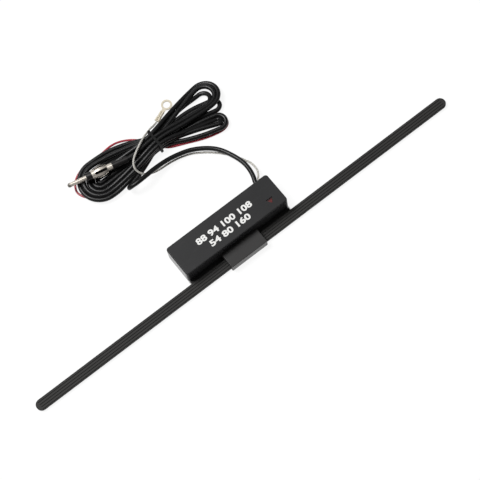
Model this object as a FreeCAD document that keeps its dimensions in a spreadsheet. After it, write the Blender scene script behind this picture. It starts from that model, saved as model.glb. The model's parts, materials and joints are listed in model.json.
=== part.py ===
import FreeCAD, Part
import math
import os
import re
import Sketcher
from FreeCAD import Placement, Rotation, Vector

# Hidden car radio antenna: a ribbed strip, an amplifier housing clipped to its middle, and a tied lead.
# X runs along the strip, Y from the strip towards the lead, Z up; the origin is under the middle.

sizes = {
    # antenna strip, ribbed on top
    "strip_length": 356,
    "strip_width": 8.2,
    "strip_base": 2.0,
    "strip_chamfer": 0.5,
    "rib_count": 4,
    "rib_width": 0.9,
    "rib_height": 0.5,
    "rib_pitch": 1.9,
    "rib_margin": 3.2,
    "element_radius": 0.5,
    "element_fit": 0.1,
    "element_rise": 1.1,
    "element_margin": 9,
    "element_spread": 3.0,
    "element_reach": 4.5,
    "element_bend": 1.0,
    "notch_length": 18,
    "notch_depth": 5.2,
    # adhesive foam under the strip and the housing
    "foam_thick": 0.6,
    "tape_width": 5.6,
    "tape_margin": 8,
    "pad_margin_x": 11,
    "pad_margin_y": 3.2,
    "pad_corner": 2.0,
    # saddle clip over the strip
    "clip_length": 30.6,
    "clip_top": 7.3,
    "clip_wall": 1.6,
    "clip_fit": 0.1,
    "clip_bead": 0.3,
    "clip_cells": 3,
    "clip_round": 0.5,
    "window_width": 10,
    "window_height": 2.6,
    "tongue_spread": 10.5,
    "tongue_width": 4.6,
    "tongue_thick": 1.4,
    "tongue_drop": 2.4,
    "tongue_fit": 0.1,
    "tongue_tip": 1.3,
    "tongue_barb": 0.5,
    # amplifier housing
    "housing_length": 87.6,
    "housing_depth": 24.8,
    "housing_top": 14.7,
    "housing_wall": 1.6,
    "housing_roof": 1.6,
    "housing_gap": 6.8,
    "housing_corner": 2.2,
    "housing_round": 0.8,
    "lens_inset": 9.8,
    "lens_base_y": 3.4,
    "lens_width": 5.4,
    "lens_depth": 4.1,
    "lens_recess": 0.5,
    "lens_fit": 0.1,
    "lens_flange": 1.2,
    "lens_flange_thick": 0.8,
    # base plate and screws
    "plate_thick": 1.8,
    "plate_fit": 0.15,
    "post_height": 2.2,
    "post_radius": 2.8,
    "screw_inset": 6.6,
    "screw_radius": 1.2,
    "screw_fit": 0.1,
    "screw_length": 9.0,
    "screw_head_radius": 2.2,
    "screw_head_height": 0.9,
    "screw_tip": 1.2,
    "screw_tip_radius": 0.3,
    "screw_slot": 0.6,
    "screw_slot_length": 3.1,
    "screw_slot_depth": 0.45,
    # circuit board
    "board_thick": 1.6,
    "board_margin": 1.2,
    "board_front": 2.0,
    "board_rear": 0.6,
    "board_notch_fit": 0.3,
    "board_notch_depth": 3.2,
    "seat_fit": 0.05,
    # lead bush in the rear wall
    "bush_inset": 8.8,
    "bush_width": 8.4,
    "bush_under": 3.4,
    "bush_height": 7.4,
    "bush_flange": 0.8,
    "bush_flange_thick": 0.9,
    "bush_fit": 0.1,
    "tail_length": 6.0,
    # leads
    "coax_radius": 1.9,
    "power_radius": 0.8,
    "ground_radius": 0.85,
    "lead_fit": 0.1,
    "coax_run_out": 6.5,
    "power_run_out": 6.5,
    "ground_run_out": 4.5,
    "barrel_run": 3.6,
    "bend_share": 0.45,
    # parts on the board
    "led_radius": 1.5,
    "led_flange_radius": 1.9,
    "led_flange_height": 1.0,
    "led_body_height": 3.0,
    "leg_radius": 0.25,
    "leg_height": 1.4,
    "leg_pitch": 1.27,
    "transistor_x": -6,
    "transistor_y": 0.5,
    "transistor_radius": 2.3,
    "transistor_flat": 1.3,
    "transistor_height": 4.5,
    "choke_x": -19,
    "choke_y": 1.0,
    "choke_radius": 3.2,
    "choke_core_radius": 2.3,
    "choke_flange": 0.8,
    "choke_height": 5.0,
    "electrolytic_x": 15,
    "electrolytic_y": 1.5,
    "electrolytic_radius": 2.5,
    "electrolytic_height": 5.2,
    "electrolytic_groove": 0.35,
    "electrolytic_foot": 0.9,
    "electrolytic_round": 0.4,
    "ceramic_inset": 12,
    "ceramic_led_gap": 7,
    "ceramic_y": -4.5,
    "ceramic_radius": 1.9,
    "ceramic_thick": 1.3,
    "resistor_first_x": -10,
    "resistor_pitch": 12,
    "resistor_y": 6.2,
    "resistor_radius": 0.9,
    "resistor_cap_radius": 1.1,
    "resistor_length": 3.6,
    "resistor_cap": 0.9,
    "resistor_span": 6.6,
    # antenna plug, measured along its axis from the boot's lead end
    "plug_x": -23.4,
    "plug_y": 92.0,
    "plug_z": 8.6,
    "plug_angle": 167,
    "boot_length": 11.8,
    "boot_lead_radius": 2.2,
    "boot_front_radius": 2.7,
    "boot_spigot": 2.4,
    "ferrule_length": 3.6,
    "basket_length": 10.0,
    "basket_bulge": 1.2,
    "ring_length": 2.1,
    "ferrule_radius": 2.4,
    "ring_radius": 3.3,
    "shell_wall": 0.45,
    "slot_count": 6,
    "slot_width": 2.0,
    "slot_margin": 0.4,
    "slot_turn": 25,
    "plug_fit": 0.05,
    "collar_length": 4.2,
    "collar_radius": 3.1,
    "core_radius": 1.7,
    "pin_radius": 1.6,
    "pin_length": 14.4,
    "pin_tip": 0.9,
    "pin_stem_radius": 1.0,
    "pin_stem_length": 9.0,
    # ring terminal
    "terminal_x": 24.4,
    "terminal_y": 111.6,
    "terminal_angle": 25,
    "terminal_thick": 0.8,
    "terminal_radius": 4.0,
    "terminal_hole_radius": 2.65,
    "terminal_neck": 2.6,
    "terminal_neck_length": 3.6,
    "barrel_length": 8.2,
    "barrel_lobe_radius": 0.95,
    "barrel_lobe_spread": 0.7,
    "grip_length": 2.8,
    "grip_lobe_radius": 1.1,
    "grip_lobe_spread": 0.95,
    # hank of coax and its tie
    "waist_x": 0.4,
    "waist_y": 91.6,
    "waist_radius": 7.7,
    "waist_height": 11.0,
    "lobe_height": 5.8,
    "fan_height": 7.5,
    "tie_width": 1.8,
    "tie_thick": 0.8,
    "tie_fit": 0.1,
    "trough_fit": 0.3,
    "plug_lead_reach": 20,
}

# Lengths and places that follow from the sizes above
derived = {
    "clip_front": "strip_width / 2 + clip_fit + clip_wall",
    "whole_depth": "clip_front + housing_gap + housing_depth",
    "strip_y": "clip_front - whole_depth / 2",
    "housing_y": "(whole_depth - housing_depth) / 2",
    "strip_top": "foam_thick + strip_base + rib_height",
    "roof_under": "housing_top - housing_roof",
    "lens_x": "housing_length / 2 - lens_inset",
    "screw_x": "housing_length / 2 - screw_inset",
    "bush_x": "housing_length / 2 - bush_inset",
    "inner_x": "housing_length / 2 - housing_wall",
    "inner_y": "housing_depth / 2 - housing_wall",
    "plate_top": "foam_thick + plate_thick",
    "board_under": "plate_top + post_height",
    "board_top": "board_under + board_thick",
    "board_front_y": "board_front - inner_y",
    "board_rear_y": "inner_y - board_rear",
    "board_x": "inner_x - board_margin",
    "ceramic_first_x": "ceramic_inset - board_x",
    "ceramic_pitch": "(lens_x - ceramic_led_gap - ceramic_first_x) / 2",
    "rear_y": "housing_y + housing_depth / 2",
    "front_y": "housing_y - housing_depth / 2",
    "tongue_top": "clip_top - tongue_drop",
    "coax_z": "board_top + lead_fit + coax_radius",
    "power_z": "board_under + board_thick / 2",
    "ground_z": "board_top + lead_fit + ground_radius",
    "ground_x": "bush_x + coax_radius + ground_radius + 2 * lead_fit",
    "shell_start": "boot_length",
    "basket_start": "shell_start + ferrule_length",
    "basket_end": "basket_start + basket_length",
    "shell_end": "basket_end + ring_length",
    "collar_end": "shell_end + collar_length",
    "pin_end": "collar_end + pin_length",
    "barrel_start": "terminal_hole_radius + terminal_neck_length",
}

# Corners of the leads' routes after their straight run out of the bush
coax_route = [
    (38.3, 35.6, 7.3),
    (38.7, 46.5, 6.0),
    (33.8, 58.2, 4.4),
    (24.2, 67.2, 3.7),
    (12.5, 72.5, 3.8),
    (0.0, 74.7, 5.1),
    (-13.0, 74.0, 7.6),
    (-25.0, 72.0, 9.8),
    (-35.4, 71.9, 10.2),
    (-35.4, 74.3, 2.3),
    (-27.9, 77.2, 2.3),
]
power_route = [
    (38.6, 33.5, 2.6),
    (39.9, 42.0, 0.85),
    (38.6, 50.6, 0.85),
    (34.6, 59.4, 0.85),
    (25.2, 68.5, 0.85),
    (13.2, 73.6, 0.85),
    (5.5, 75.2, 0.85),
    (-0.6, 75.9, 0.85),
    (-4.6, 77.6, 0.85),
    (-6.6, 80.1, 0.85),
    (-7.0, 82.69, 0.85),
]
ground_route = [
    (41.3, 27.4, 6.2),
    (43.6, 32.4, 4.5),
    (43.9, 37.8, 3.1),
    (41.6, 43.0, 2.75),
    (38.0, 48.2, 2.7),
    (34.4, 54.0, 1.2),
    (30.4, 59.0, 0.9),
    (22.4, 65.4, 0.9),
    (12.6, 70.3, 0.9),
    (2.0, 72.6, 0.9),
    (-8.0, 73.4, 1.2),
    (-16.0, 74.2, 3.2),
    (-21.8, 76.6, 6.2),
    (-24.0, 80.6, 9.0),
    (-23.6, 84.6, 11.0),
    (-20.9, 88.2, 12.0),
    (-14.6, 92.6, 11.8),
    (-9.6, 95.4, 10.8),
    (-4.6, 99.1, 9.4),
    (0.2, 102.0, 6.8),
    (4.4, 103.0, 3.4),
]

# Loops of the hank beyond its tie: place of the loop's end and its radius
hank_lobe = (-46.2, 93.8, 16.6)
hank_fan = [(50.2, 100.8, 8.4), (48.2, 87.0, 6.4), (44.4, 76.2, 6.0)]

# Shares of a millimetre below which places and volumes count as equal
near = 1e-4
least_cut = 1e-6

doc = FreeCAD.newDocument("hidden_radio_antenna")
sheet = doc.addObject("Spreadsheet::Sheet", "Sizes")
for row, (alias, number) in enumerate(sizes.items(), start=1):
    sheet.set(f"A{row}", alias)
    sheet.set(f"B{row}", str(number))
    sheet.setAlias(f"B{row}", alias)
doc.recompute()

nodes = []


def ex(text):
    def swap(match):
        word = match.group()
        if word in derived:
            return "(" + ex(derived[word]) + ")"
        return "Sizes." + word if word in sizes else word

    return re.sub(r"[a-z_][a-z_0-9]*", swap, text)


def value(text):
    return float(sheet.evalExpression(ex(text)))


def bind(thing, path, text):
    thing.setExpression(path, ex(text))


def place(thing, x="0", y="0", z="0", turn=None):
    if turn:
        thing.Placement = Placement(Vector(), turn)
    for axis, text in zip("xyz", (x, y, z)):
        if text != "0":
            bind(thing, f"Placement.Base.{axis}", text)
    return thing


def node(thing, name):
    thing.Label = name
    nodes.append(thing)
    return thing


# Sketches and features of a body

def new_body(name, x="0", y="0", z="0"):
    return place(node(doc.addObject("PartDesign::Body", name), name), x, y, z)


def new_sketch(body, name, plane, offset="0"):
    sketch = body.newObject("Sketcher::SketchObject", f"{body.Name}_{name}")
    support = [feature for feature in body.Origin.OriginFeatures if feature.Role == plane]
    sketch.AttachmentSupport = (support[0], [""])
    sketch.MapMode = "FlatFace"
    if offset != "0":
        bind(sketch, "AttachmentOffset.Base.z", offset)
    return sketch


def fix_point(sketch, geometry, position, corner):
    for kind, text in zip(("DistanceX", "DistanceY"), corner):
        index = sketch.addConstraint(Sketcher.Constraint(kind, -1, 1, geometry, position, value(text)))
        bind(sketch, f"Constraints[{index}]", text)


def fix_radius(sketch, geometry, text):
    index = sketch.addConstraint(Sketcher.Constraint("Radius", geometry, value(text)))
    bind(sketch, f"Constraints[{index}]", text)


def polygon(sketch, corners):
    first = sketch.GeometryCount
    points = [Vector(value(x), value(y), 0) for x, y in corners]
    for start, end in zip(points, points[1:] + points[:1]):
        sketch.addGeometry(Part.LineSegment(start, end))
    for step, corner in enumerate(corners):
        follower = first + (step + 1) % len(corners)
        sketch.addConstraint(Sketcher.Constraint("Coincident", first + step, 2, follower, 1))
        fix_point(sketch, first + step, 1, corner)
    return sketch


def rectangle(sketch, low_x, high_x, low_y, high_y):
    return polygon(sketch, [(low_x, low_y), (high_x, low_y), (high_x, high_y), (low_x, high_y)])


def circle(sketch, x, y, radius):
    ring = Part.Circle(Vector(value(x), value(y), 0), Vector(0, 0, 1), value(radius))
    geometry = sketch.addGeometry(ring)
    fix_point(sketch, geometry, 3, (x, y))
    fix_radius(sketch, geometry, radius)
    return sketch


def slot(sketch, low_x, high_x, y, radius):
    low, high, middle, reach = value(low_x), value(high_x), value(y), value(radius)
    up = Vector(0, 0, 1)
    top = sketch.addGeometry(Part.LineSegment(Vector(high, middle + reach), Vector(low, middle + reach)))
    left_round = Part.Circle(Vector(low, middle), up, reach)
    left = sketch.addGeometry(Part.ArcOfCircle(left_round, math.pi / 2, 3 * math.pi / 2))
    under = sketch.addGeometry(Part.LineSegment(Vector(low, middle - reach), Vector(high, middle - reach)))
    right_round = Part.Circle(Vector(high, middle), up, reach)
    right = sketch.addGeometry(Part.ArcOfCircle(right_round, -math.pi / 2, math.pi / 2))
    for one, other in ((top, left), (left, under), (under, right), (right, top)):
        sketch.addConstraint(Sketcher.Constraint("Tangent", one, 2, other, 1))
    fix_point(sketch, left, 3, (low_x, y))
    fix_point(sketch, right, 3, (high_x, y))
    fix_radius(sketch, left, radius)
    sketch.addConstraint(Sketcher.Constraint("Horizontal", top))
    return sketch


def extrude(body, sketch, length, kind="Pad", backwards=False, both_ways=False):
    before = body.Shape.Volume if kind == "Pocket" else None
    feature = body.newObject(f"PartDesign::{kind}", f"{sketch.Name}_{kind.lower()}")
    feature.Profile = sketch
    bind(feature, "Length", length)
    feature.Reversed = backwards
    if both_ways:
        feature.SideType = "Symmetric"
    doc.recompute()
    if kind == "Pocket" and not body.Shape.Volume < before - least_cut:
        raise ValueError(f"{feature.Name} cuts nothing")
    return feature


def pad(body, sketch, length, backwards=False, both_ways=False):
    return extrude(body, sketch, length, "Pad", backwards, both_ways)


def pocket(body, sketch, length, backwards=False, both_ways=False):
    return extrude(body, sketch, length, "Pocket", backwards, both_ways)


def revolve(body, sketch):
    feature = body.newObject("PartDesign::Revolution", f"{sketch.Name}_turn")
    feature.Profile = sketch
    feature.ReferenceAxis = (sketch, ["H_Axis"])
    feature.Angle = 360
    doc.recompute()
    return feature


def mirror(body, feature):
    copy = body.newObject("PartDesign::Mirrored", f"{feature.Name}_mirror")
    copy.Originals = [feature]
    plane = [origin for origin in body.Origin.OriginFeatures if origin.Role == "YZ_Plane"]
    copy.MirrorPlane = (plane[0], [""])
    body.Tip = copy
    doc.recompute()
    return copy


def row_of(body, feature, sketch, axis, length, count):
    pattern = body.newObject("PartDesign::LinearPattern", f"{feature.Name}_row")
    pattern.Originals = [feature]
    pattern.Direction = (sketch, [axis])
    bind(pattern, "Length", length)
    bind(pattern, "Occurrences", count)
    body.Tip = pattern
    doc.recompute()
    return pattern


def ring_of(body, feature, sketch, axis, count):
    pattern = body.newObject("PartDesign::PolarPattern", f"{feature.Name}_ring")
    pattern.Originals = [feature]
    pattern.Axis = (sketch, [axis])
    pattern.Angle = 360
    bind(pattern, "Occurrences", count)
    body.Tip = pattern
    doc.recompute()
    return pattern


def dress(body, kind, size, edge_test, property_name):
    base = body.Tip
    names = [f"Edge{number}" for number, edge in enumerate(base.Shape.Edges, start=1) if edge_test(edge)]
    feature = body.newObject(f"PartDesign::{kind}", f"{base.Name}_{kind.lower()}")
    feature.Base = (base, names)
    bind(feature, property_name, size)
    doc.recompute()
    return feature


def round_edges(body, radius, edge_test):
    return dress(body, "Fillet", radius, edge_test, "Radius")


def bevel_edges(body, size, edge_test):
    return dress(body, "Chamfer", size, edge_test, "Size")


def upright(edge):
    ends = [vertex.Point for vertex in edge.Vertexes]
    return len(ends) == 2 and abs(ends[0].z - ends[1].z) > 0.9 * edge.Length


def level_at(height):
    return lambda edge: all(abs(vertex.Z - height) < near for vertex in edge.Vertexes)


# Primitives

def cylinder(name, radius, height, x="0", y="0", z="0", turn=None):
    rod = doc.addObject("Part::Cylinder", name)
    bind(rod, "Radius", radius)
    bind(rod, "Height", height)
    return place(rod, x, y, z, turn)


def block(name, length, width, height, x="0", y="0", z="0"):
    solid = doc.addObject("Part::Box", name)
    bind(solid, "Length", length)
    bind(solid, "Width", width)
    bind(solid, "Height", height)
    return place(solid, x, y, z)


def join(name, *pieces):
    union = doc.addObject("Part::MultiFuse", name)
    union.Shapes = list(pieces)
    union.Refine = True
    return union


def cut(name, base, tool):
    rest = doc.addObject("Part::Cut", name)
    rest.Base = base
    rest.Tool = tool
    return rest


along_x = Rotation(Vector(0, 1, 0), 90)
along_y = Rotation(Vector(1, 0, 0), -90)


# Strip, its adhesive tape and the two conductors inside it

def make_strip():
    body = new_body("antenna_strip", y="strip_y")
    half = "strip_length / 2 - strip_width / 2"
    plan = new_sketch(body, "plan", "XY_Plane", "foam_thick")
    slot(plan, f"-({half})", half, "0", "strip_width / 2")
    pad(body, plan, "strip_base")
    bevel_edges(body, "strip_chamfer", level_at(value("foam_thick")))
    rib = new_sketch(body, "rib", "XY_Plane", "foam_thick + strip_base")
    reach = "strip_length / 2 - rib_margin"
    slot(rib, f"-({reach})", reach, "-rib_pitch * (rib_count - 1) / 2", "rib_width / 2")
    row_of(body, pad(body, rib, "rib_height"), rib, "V_Axis", "rib_pitch * (rib_count - 1)", "rib_count")
    bore = new_sketch(body, "bore", "YZ_Plane")
    circle(bore, "0", "foam_thick + element_rise", "element_radius + element_fit")
    pocket(body, bore, "strip_length - 2 * (element_margin - element_fit)", both_ways=True)
    notch = new_sketch(body, "notch", "XY_Plane", "foam_thick")
    inward = "strip_width / 2 - notch_depth"
    rectangle(notch, "-notch_length / 2", "notch_length / 2", inward, "strip_width")
    pocket(body, notch, "strip_base + rib_height", backwards=True)


def make_tape():
    body = new_body("strip_tape", y="strip_y")
    half = "strip_length / 2 - tape_margin - tape_width / 2"
    plan = slot(new_sketch(body, "plan", "XY_Plane"), f"-({half})", half, "0", "tape_width / 2")
    pad(body, plan, "foam_thick")


def make_element(name, side):
    level = value("foam_thick + element_rise")
    inner_level = value("board_under - seat_fit - element_radius")
    tip_x = value("strip_length / 2 - element_margin")
    turn_x = value("element_spread")
    strip_y, wall_y = value("strip_y"), value("front_y")
    end_y = value("housing_y + board_front_y + element_reach")
    corners = [
        Vector(side * tip_x, strip_y, level),
        Vector(side * turn_x, strip_y, level),
        Vector(side * turn_x, wall_y, inner_level),
        Vector(side * turn_x, end_y, inner_level),
    ]
    wire = node(doc.addObject("Part::Feature", name), name)
    wire.Shape = tube(corners, value("element_radius"), value("element_bend"))


# Cords and wires: straight runs joined by tangent arcs

def corner_radius(before, corner, after):
    into, out = corner - before, after - corner
    turn = into.getAngle(out)
    return value("bend_share") * min(into.Length, out.Length) / math.tan(turn / 2), turn


def tube(corners, radius, fixed_bend=None):
    edges, start, bends = [], corners[0], []
    for before, corner, after in zip(corners, corners[1:], corners[2:]):
        bend, turn = corner_radius(before, corner, after)
        bend = fixed_bend or bend
        into, out = (corner - before).normalize(), (after - corner).normalize()
        trim = bend * math.tan(turn / 2)
        first, last = corner - into * trim, corner + out * trim
        middle = corner + (out - into).normalize() * (bend / math.cos(turn / 2) - bend)
        edges += [Part.LineSegment(start, first).toShape(), Part.Arc(first, middle, last).toShape()]
        start = last
        bends.append(bend)
    edges.append(Part.LineSegment(start, corners[-1]).toShape())
    path = Part.Wire(edges)
    section = Part.Wire(Part.Circle(corners[0], corners[1] - corners[0], radius).toShape())
    solid = path.makePipeShell([section], True, True)
    expected = math.pi * radius ** 2 * path.Length
    print(f"tube length {path.Length:.1f}, volume ratio {solid.Volume / expected:.4f},",
          "radii", [round(bend, 1) for bend in bends])
    return solid


def make_cord(name, exit_point, run_out, route, radius):
    corners = [exit_point, exit_point + Vector(0, value(run_out), 0)]
    corners += [Vector(*point) for point in route]
    cord = node(doc.addObject("Part::Feature", name), name)
    cord.Shape = tube(corners, value(radius))


# Saddle clip: cells under a roof, a bead under the strip's edge, barbed tongues into the housing

def make_clip():
    body = new_body("strip_clip", y="strip_y")
    plan = new_sketch(body, "plan", "XY_Plane", "foam_thick")
    rectangle(plan, "-clip_length / 2", "clip_length / 2", "-clip_front", "housing_gap")
    pad(body, plan, "clip_top - foam_thick")
    front, top = -value("clip_front"), value("clip_top")
    half = value("clip_length / 2")

    def outer(edge):
        centre = edge.CenterOfMass
        on_front = abs(centre.y - front) < near
        on_end = abs(abs(centre.x) - half) < near
        on_top = abs(centre.z - top) < near
        return on_top and (on_front or on_end) or on_front and on_end

    round_edges(body, "clip_round", outer)
    channel = new_sketch(body, "channel", "YZ_Plane")
    side = "strip_width / 2 + clip_fit"
    rectangle(channel, f"-({side})", side, "0", "strip_top + clip_fit")
    pocket(body, channel, "clip_length", both_ways=True)
    bead = new_sketch(body, "bead", "YZ_Plane")
    polygon(bead, [(f"-({side})", "foam_thick"), (f"clip_bead - ({side})", "foam_thick"),
                   (f"-({side})", "foam_thick + clip_bead")])
    pad(body, bead, "clip_length", both_ways=True)
    cell_length = "(clip_length - (clip_cells + 1) * clip_wall) / clip_cells"
    cell = new_sketch(body, "cell", "XY_Plane", "strip_top")
    start = "clip_wall - clip_length / 2"
    rectangle(cell, start, f"{start} + {cell_length}", f"-({side})", "housing_gap - clip_wall")
    cells = pocket(body, cell, "clip_top - clip_wall - strip_top", backwards=True)
    row_of(body, cells, cell, "H_Axis", f"(clip_cells - 1) * ({cell_length} + clip_wall)", "clip_cells")
    window = new_sketch(body, "window", "XZ_Plane", "-housing_gap")
    rectangle(window, "-window_width / 2", "window_width / 2", "0", "plate_top + window_height")
    pocket(body, window, "housing_gap", backwards=True)
    tongue = new_sketch(body, "tongue", "YZ_Plane", "tongue_spread")
    inside = "housing_gap + housing_wall + tongue_fit"
    tip = f"{inside} + tongue_tip"
    under = "tongue_top - tongue_thick"
    polygon(tongue, [
        ("housing_gap", under), (tip, under), (tip, "tongue_top"), (inside, "tongue_top + tongue_barb"),
        (inside, "tongue_top"), ("housing_gap", "tongue_top")])
    mirror(body, pad(body, tongue, "tongue_width", both_ways=True))


# Housing cover: open below, bosses under the roof, cut-outs for the lens, the clip and the leads

def lens_corners(grow):
    half = f"(lens_width / 2 + 2 * ({grow}))"
    return [(f"lens_x - {half}", f"-lens_base_y + ({grow})"),
            ("lens_x", f"-lens_base_y - lens_depth - 2 * ({grow})"),
            (f"lens_x + {half}", f"-lens_base_y + ({grow})")]


def make_cover():
    body = new_body("housing_cover", y="housing_y")
    plan = new_sketch(body, "plan", "XY_Plane", "foam_thick")
    rectangle(plan, "-housing_length / 2", "housing_length / 2", "-housing_depth / 2", "housing_depth / 2")
    pad(body, plan, "housing_top - foam_thick")
    round_edges(body, "housing_corner", upright)
    round_edges(body, "housing_round", level_at(value("housing_top")))
    cavity = new_sketch(body, "cavity", "XY_Plane", "foam_thick")
    rectangle(cavity, "-inner_x", "inner_x", "-inner_y", "inner_y")
    pocket(body, cavity, "roof_under - foam_thick", backwards=True)
    boss = new_sketch(body, "boss", "XY_Plane", "board_top + seat_fit")
    circle(boss, "screw_x", "0", "post_radius")
    mirror(body, pad(body, boss, "roof_under - board_top - seat_fit"))
    pilot = new_sketch(body, "pilot", "XY_Plane", "board_top")
    circle(pilot, "screw_x", "0", "screw_radius + screw_fit / 2")
    screw_end = "foam_thick + screw_head_height + screw_length"
    mirror(body, pocket(body, pilot, f"{screw_end} - board_top", backwards=True))
    lens = polygon(new_sketch(body, "lens", "XY_Plane", "housing_top"), lens_corners("0"))
    pocket(body, lens, "housing_roof")
    opening = new_sketch(body, "bush", "XZ_Plane", "-housing_depth / 2")
    low, high = "bush_x - bush_width / 2", "bush_x + bush_width / 2"
    rectangle(opening, low, high, "bush_under", "bush_under + bush_height")
    pocket(body, opening, "housing_wall", backwards=True)
    front = new_sketch(body, "front", "XZ_Plane", "housing_depth / 2")
    rectangle(front, "-window_width / 2", "window_width / 2", "plate_top", "plate_top + window_height")
    for side in ("", "-"):
        centre = f"{side}tongue_spread"
        reach = "(tongue_width / 2 + tongue_fit)"
        rectangle(front, f"{centre} - {reach}", f"{centre} + {reach}",
                  "tongue_top - tongue_thick - tongue_fit", "tongue_top + tongue_fit")
    pocket(body, front, "housing_wall")


def make_lens():
    body = new_body("indicator_lens", y="housing_y")
    flange = new_sketch(body, "flange", "XY_Plane", "roof_under - lens_flange_thick")
    pad(body, polygon(flange, lens_corners("lens_flange / 2")), "lens_flange_thick")
    window = polygon(new_sketch(body, "window", "XY_Plane", "roof_under"), lens_corners("-lens_fit"))
    pad(body, window, "housing_roof - lens_recess")


# Base plate, adhesive pad and screws

def make_plate():
    body = new_body("base_plate", y="housing_y")
    plan = new_sketch(body, "plan", "XY_Plane", "foam_thick")
    reach_x, reach_y = "(inner_x - plate_fit)", "(inner_y - plate_fit)"
    rectangle(plan, f"-{reach_x}", reach_x, f"-{reach_y}", reach_y)
    pad(body, plan, "plate_thick")
    post = circle(new_sketch(body, "post", "XY_Plane", "plate_top"), "screw_x", "0", "post_radius")
    mirror(body, pad(body, post, "post_height - seat_fit"))
    hole = new_sketch(body, "hole", "XY_Plane", "foam_thick")
    circle(hole, "screw_x", "0", "screw_radius + screw_fit")
    mirror(body, pocket(body, hole, "plate_thick + post_height", backwards=True))
    sink = new_sketch(body, "sink", "XY_Plane", "foam_thick")
    circle(sink, "screw_x", "0", "screw_head_radius + screw_fit")
    mirror(body, pocket(body, sink, "screw_head_height", backwards=True))


def make_pad():
    body = new_body("housing_pad", y="housing_y")
    plan = new_sketch(body, "plan", "XY_Plane")
    reach_x, reach_y = "(housing_length / 2 - pad_margin_x)", "(housing_depth / 2 - pad_margin_y)"
    rectangle(plan, f"-{reach_x}", reach_x, f"-{reach_y}", reach_y)
    pad(body, plan, "foam_thick")
    round_edges(body, "pad_corner", upright)


def make_screws():
    screws = []
    shank_low = "foam_thick + screw_head_height"
    shank_length = "screw_length - screw_tip"
    for name, x in (("screw_left", "-screw_x"), ("screw_right", "screw_x")):
        spot = (x, "housing_y")
        head = cylinder(f"{name}_head", "screw_head_radius", "screw_head_height", *spot, "foam_thick")
        shank = cylinder(f"{name}_shank", "screw_radius", shank_length, *spot, shank_low)
        tip = doc.addObject("Part::Cone", f"{name}_tip")
        bind(tip, "Radius1", "screw_radius")
        bind(tip, "Radius2", "screw_tip_radius")
        bind(tip, "Height", "screw_tip")
        place(tip, *spot, f"{shank_low} + {shank_length}")
        arms = (("screw_slot_length", "screw_slot"), ("screw_slot", "screw_slot_length"))
        slots = [block(f"{name}_slot_{count}", length, width, "screw_slot_depth",
                       f"{x} - {length} / 2", f"housing_y - {width} / 2", "foam_thick")
                 for count, (length, width) in enumerate(arms)]
        screws.append(cut(name, join(f"{name}_body", head, shank, tip), join(f"{name}_cross", *slots)))
    group = node(doc.addObject("Part::Compound", "housing_screws"), "housing_screws")
    group.Links = screws


# Circuit board and what is soldered to it

def make_board():
    body = new_body("circuit_board", y="housing_y")
    plan = new_sketch(body, "plan", "XY_Plane", "board_under")
    low = "bush_x - bush_width / 2 + bush_fit - bush_flange - board_notch_fit"
    inward = "board_rear_y - board_notch_depth"
    polygon(plan, [
        ("-board_x", "board_front_y"), ("board_x", "board_front_y"), ("board_x", inward), (low, inward),
        (low, "board_rear_y"), ("-board_x", "board_rear_y")])
    pad(body, plan, "board_thick")
    hole = new_sketch(body, "hole", "XY_Plane", "board_under")
    circle(hole, "screw_x", "0", "screw_radius + screw_fit")
    mirror(body, pocket(body, hole, "board_thick", backwards=True))


def make_led():
    x, y = "lens_x", "housing_y - lens_base_y - lens_depth / 3"
    low = "board_top + seat_fit"
    flange = cylinder("led_flange", "led_flange_radius", "led_flange_height", x, y, low)
    body = cylinder("led_body", "led_radius", "led_body_height", x, y, low)
    dome = doc.addObject("Part::Sphere", "led_dome")
    bind(dome, "Radius", "led_radius")
    place(dome, x, y, f"{low} + led_body_height")
    node(join("indicator_led", flange, body, dome), "indicator_led")


def legs(name, x, y, offsets, height):
    low = "board_top + seat_fit"
    return [cylinder(f"{name}_leg_{count}", "leg_radius", height, f"{x} + {offset}", y, low)
            for count, offset in enumerate(offsets)]


def make_transistor():
    x, y = "transistor_x", "housing_y + transistor_y"
    low = "board_top + seat_fit + leg_height"
    barrel = cylinder("transistor_round", "transistor_radius", "transistor_height", x, y, low)
    waste = block("transistor_waste", "2 * transistor_radius", "transistor_radius", "transistor_height",
                  f"{x} - transistor_radius", f"{y} + transistor_flat", low)
    feet = legs("transistor", x, y, ("-leg_pitch", "0", "leg_pitch"), "leg_height + transistor_flat")
    node(join("rf_transistor", cut("transistor_flattened", barrel, waste), *feet), "rf_transistor")


def make_choke():
    x, y, low = "choke_x", "housing_y + choke_y", "board_top + seat_fit"
    foot = cylinder("choke_foot", "choke_radius", "choke_flange", x, y, low)
    winding = cylinder("choke_winding", "choke_core_radius", "choke_height", x, y, low)
    head_low = f"{low} + choke_height - choke_flange"
    head = cylinder("choke_head", "choke_radius", "choke_flange", x, y, head_low)
    node(join("choke_coil", foot, winding, head), "choke_coil")


def make_electrolytic():
    spot = ("electrolytic_x", "housing_y + electrolytic_y", "board_top + seat_fit")
    body = new_body("electrolytic_capacitor", *spot)
    can = circle(new_sketch(body, "can", "XY_Plane"), "0", "0", "electrolytic_radius")
    pad(body, can, "electrolytic_height")
    round_edges(body, "electrolytic_round", level_at(value("electrolytic_height")))
    groove = new_sketch(body, "groove", "XZ_Plane")
    inner = "electrolytic_radius - electrolytic_groove"
    outer = "electrolytic_radius + electrolytic_groove"
    spread = "2 * electrolytic_groove"
    polygon(groove, [(inner, "electrolytic_foot"), (outer, f"electrolytic_foot - {spread}"),
                     (outer, f"electrolytic_foot + {spread}")])
    before = body.Shape.Volume
    crimp = body.newObject("PartDesign::Groove", "electrolytic_crimp")
    crimp.Profile = groove
    crimp.ReferenceAxis = (groove, ["V_Axis"])
    crimp.Angle = 360
    doc.recompute()
    if not body.Shape.Volume < before - least_cut:
        raise ValueError("the crimp cuts nothing")


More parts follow.
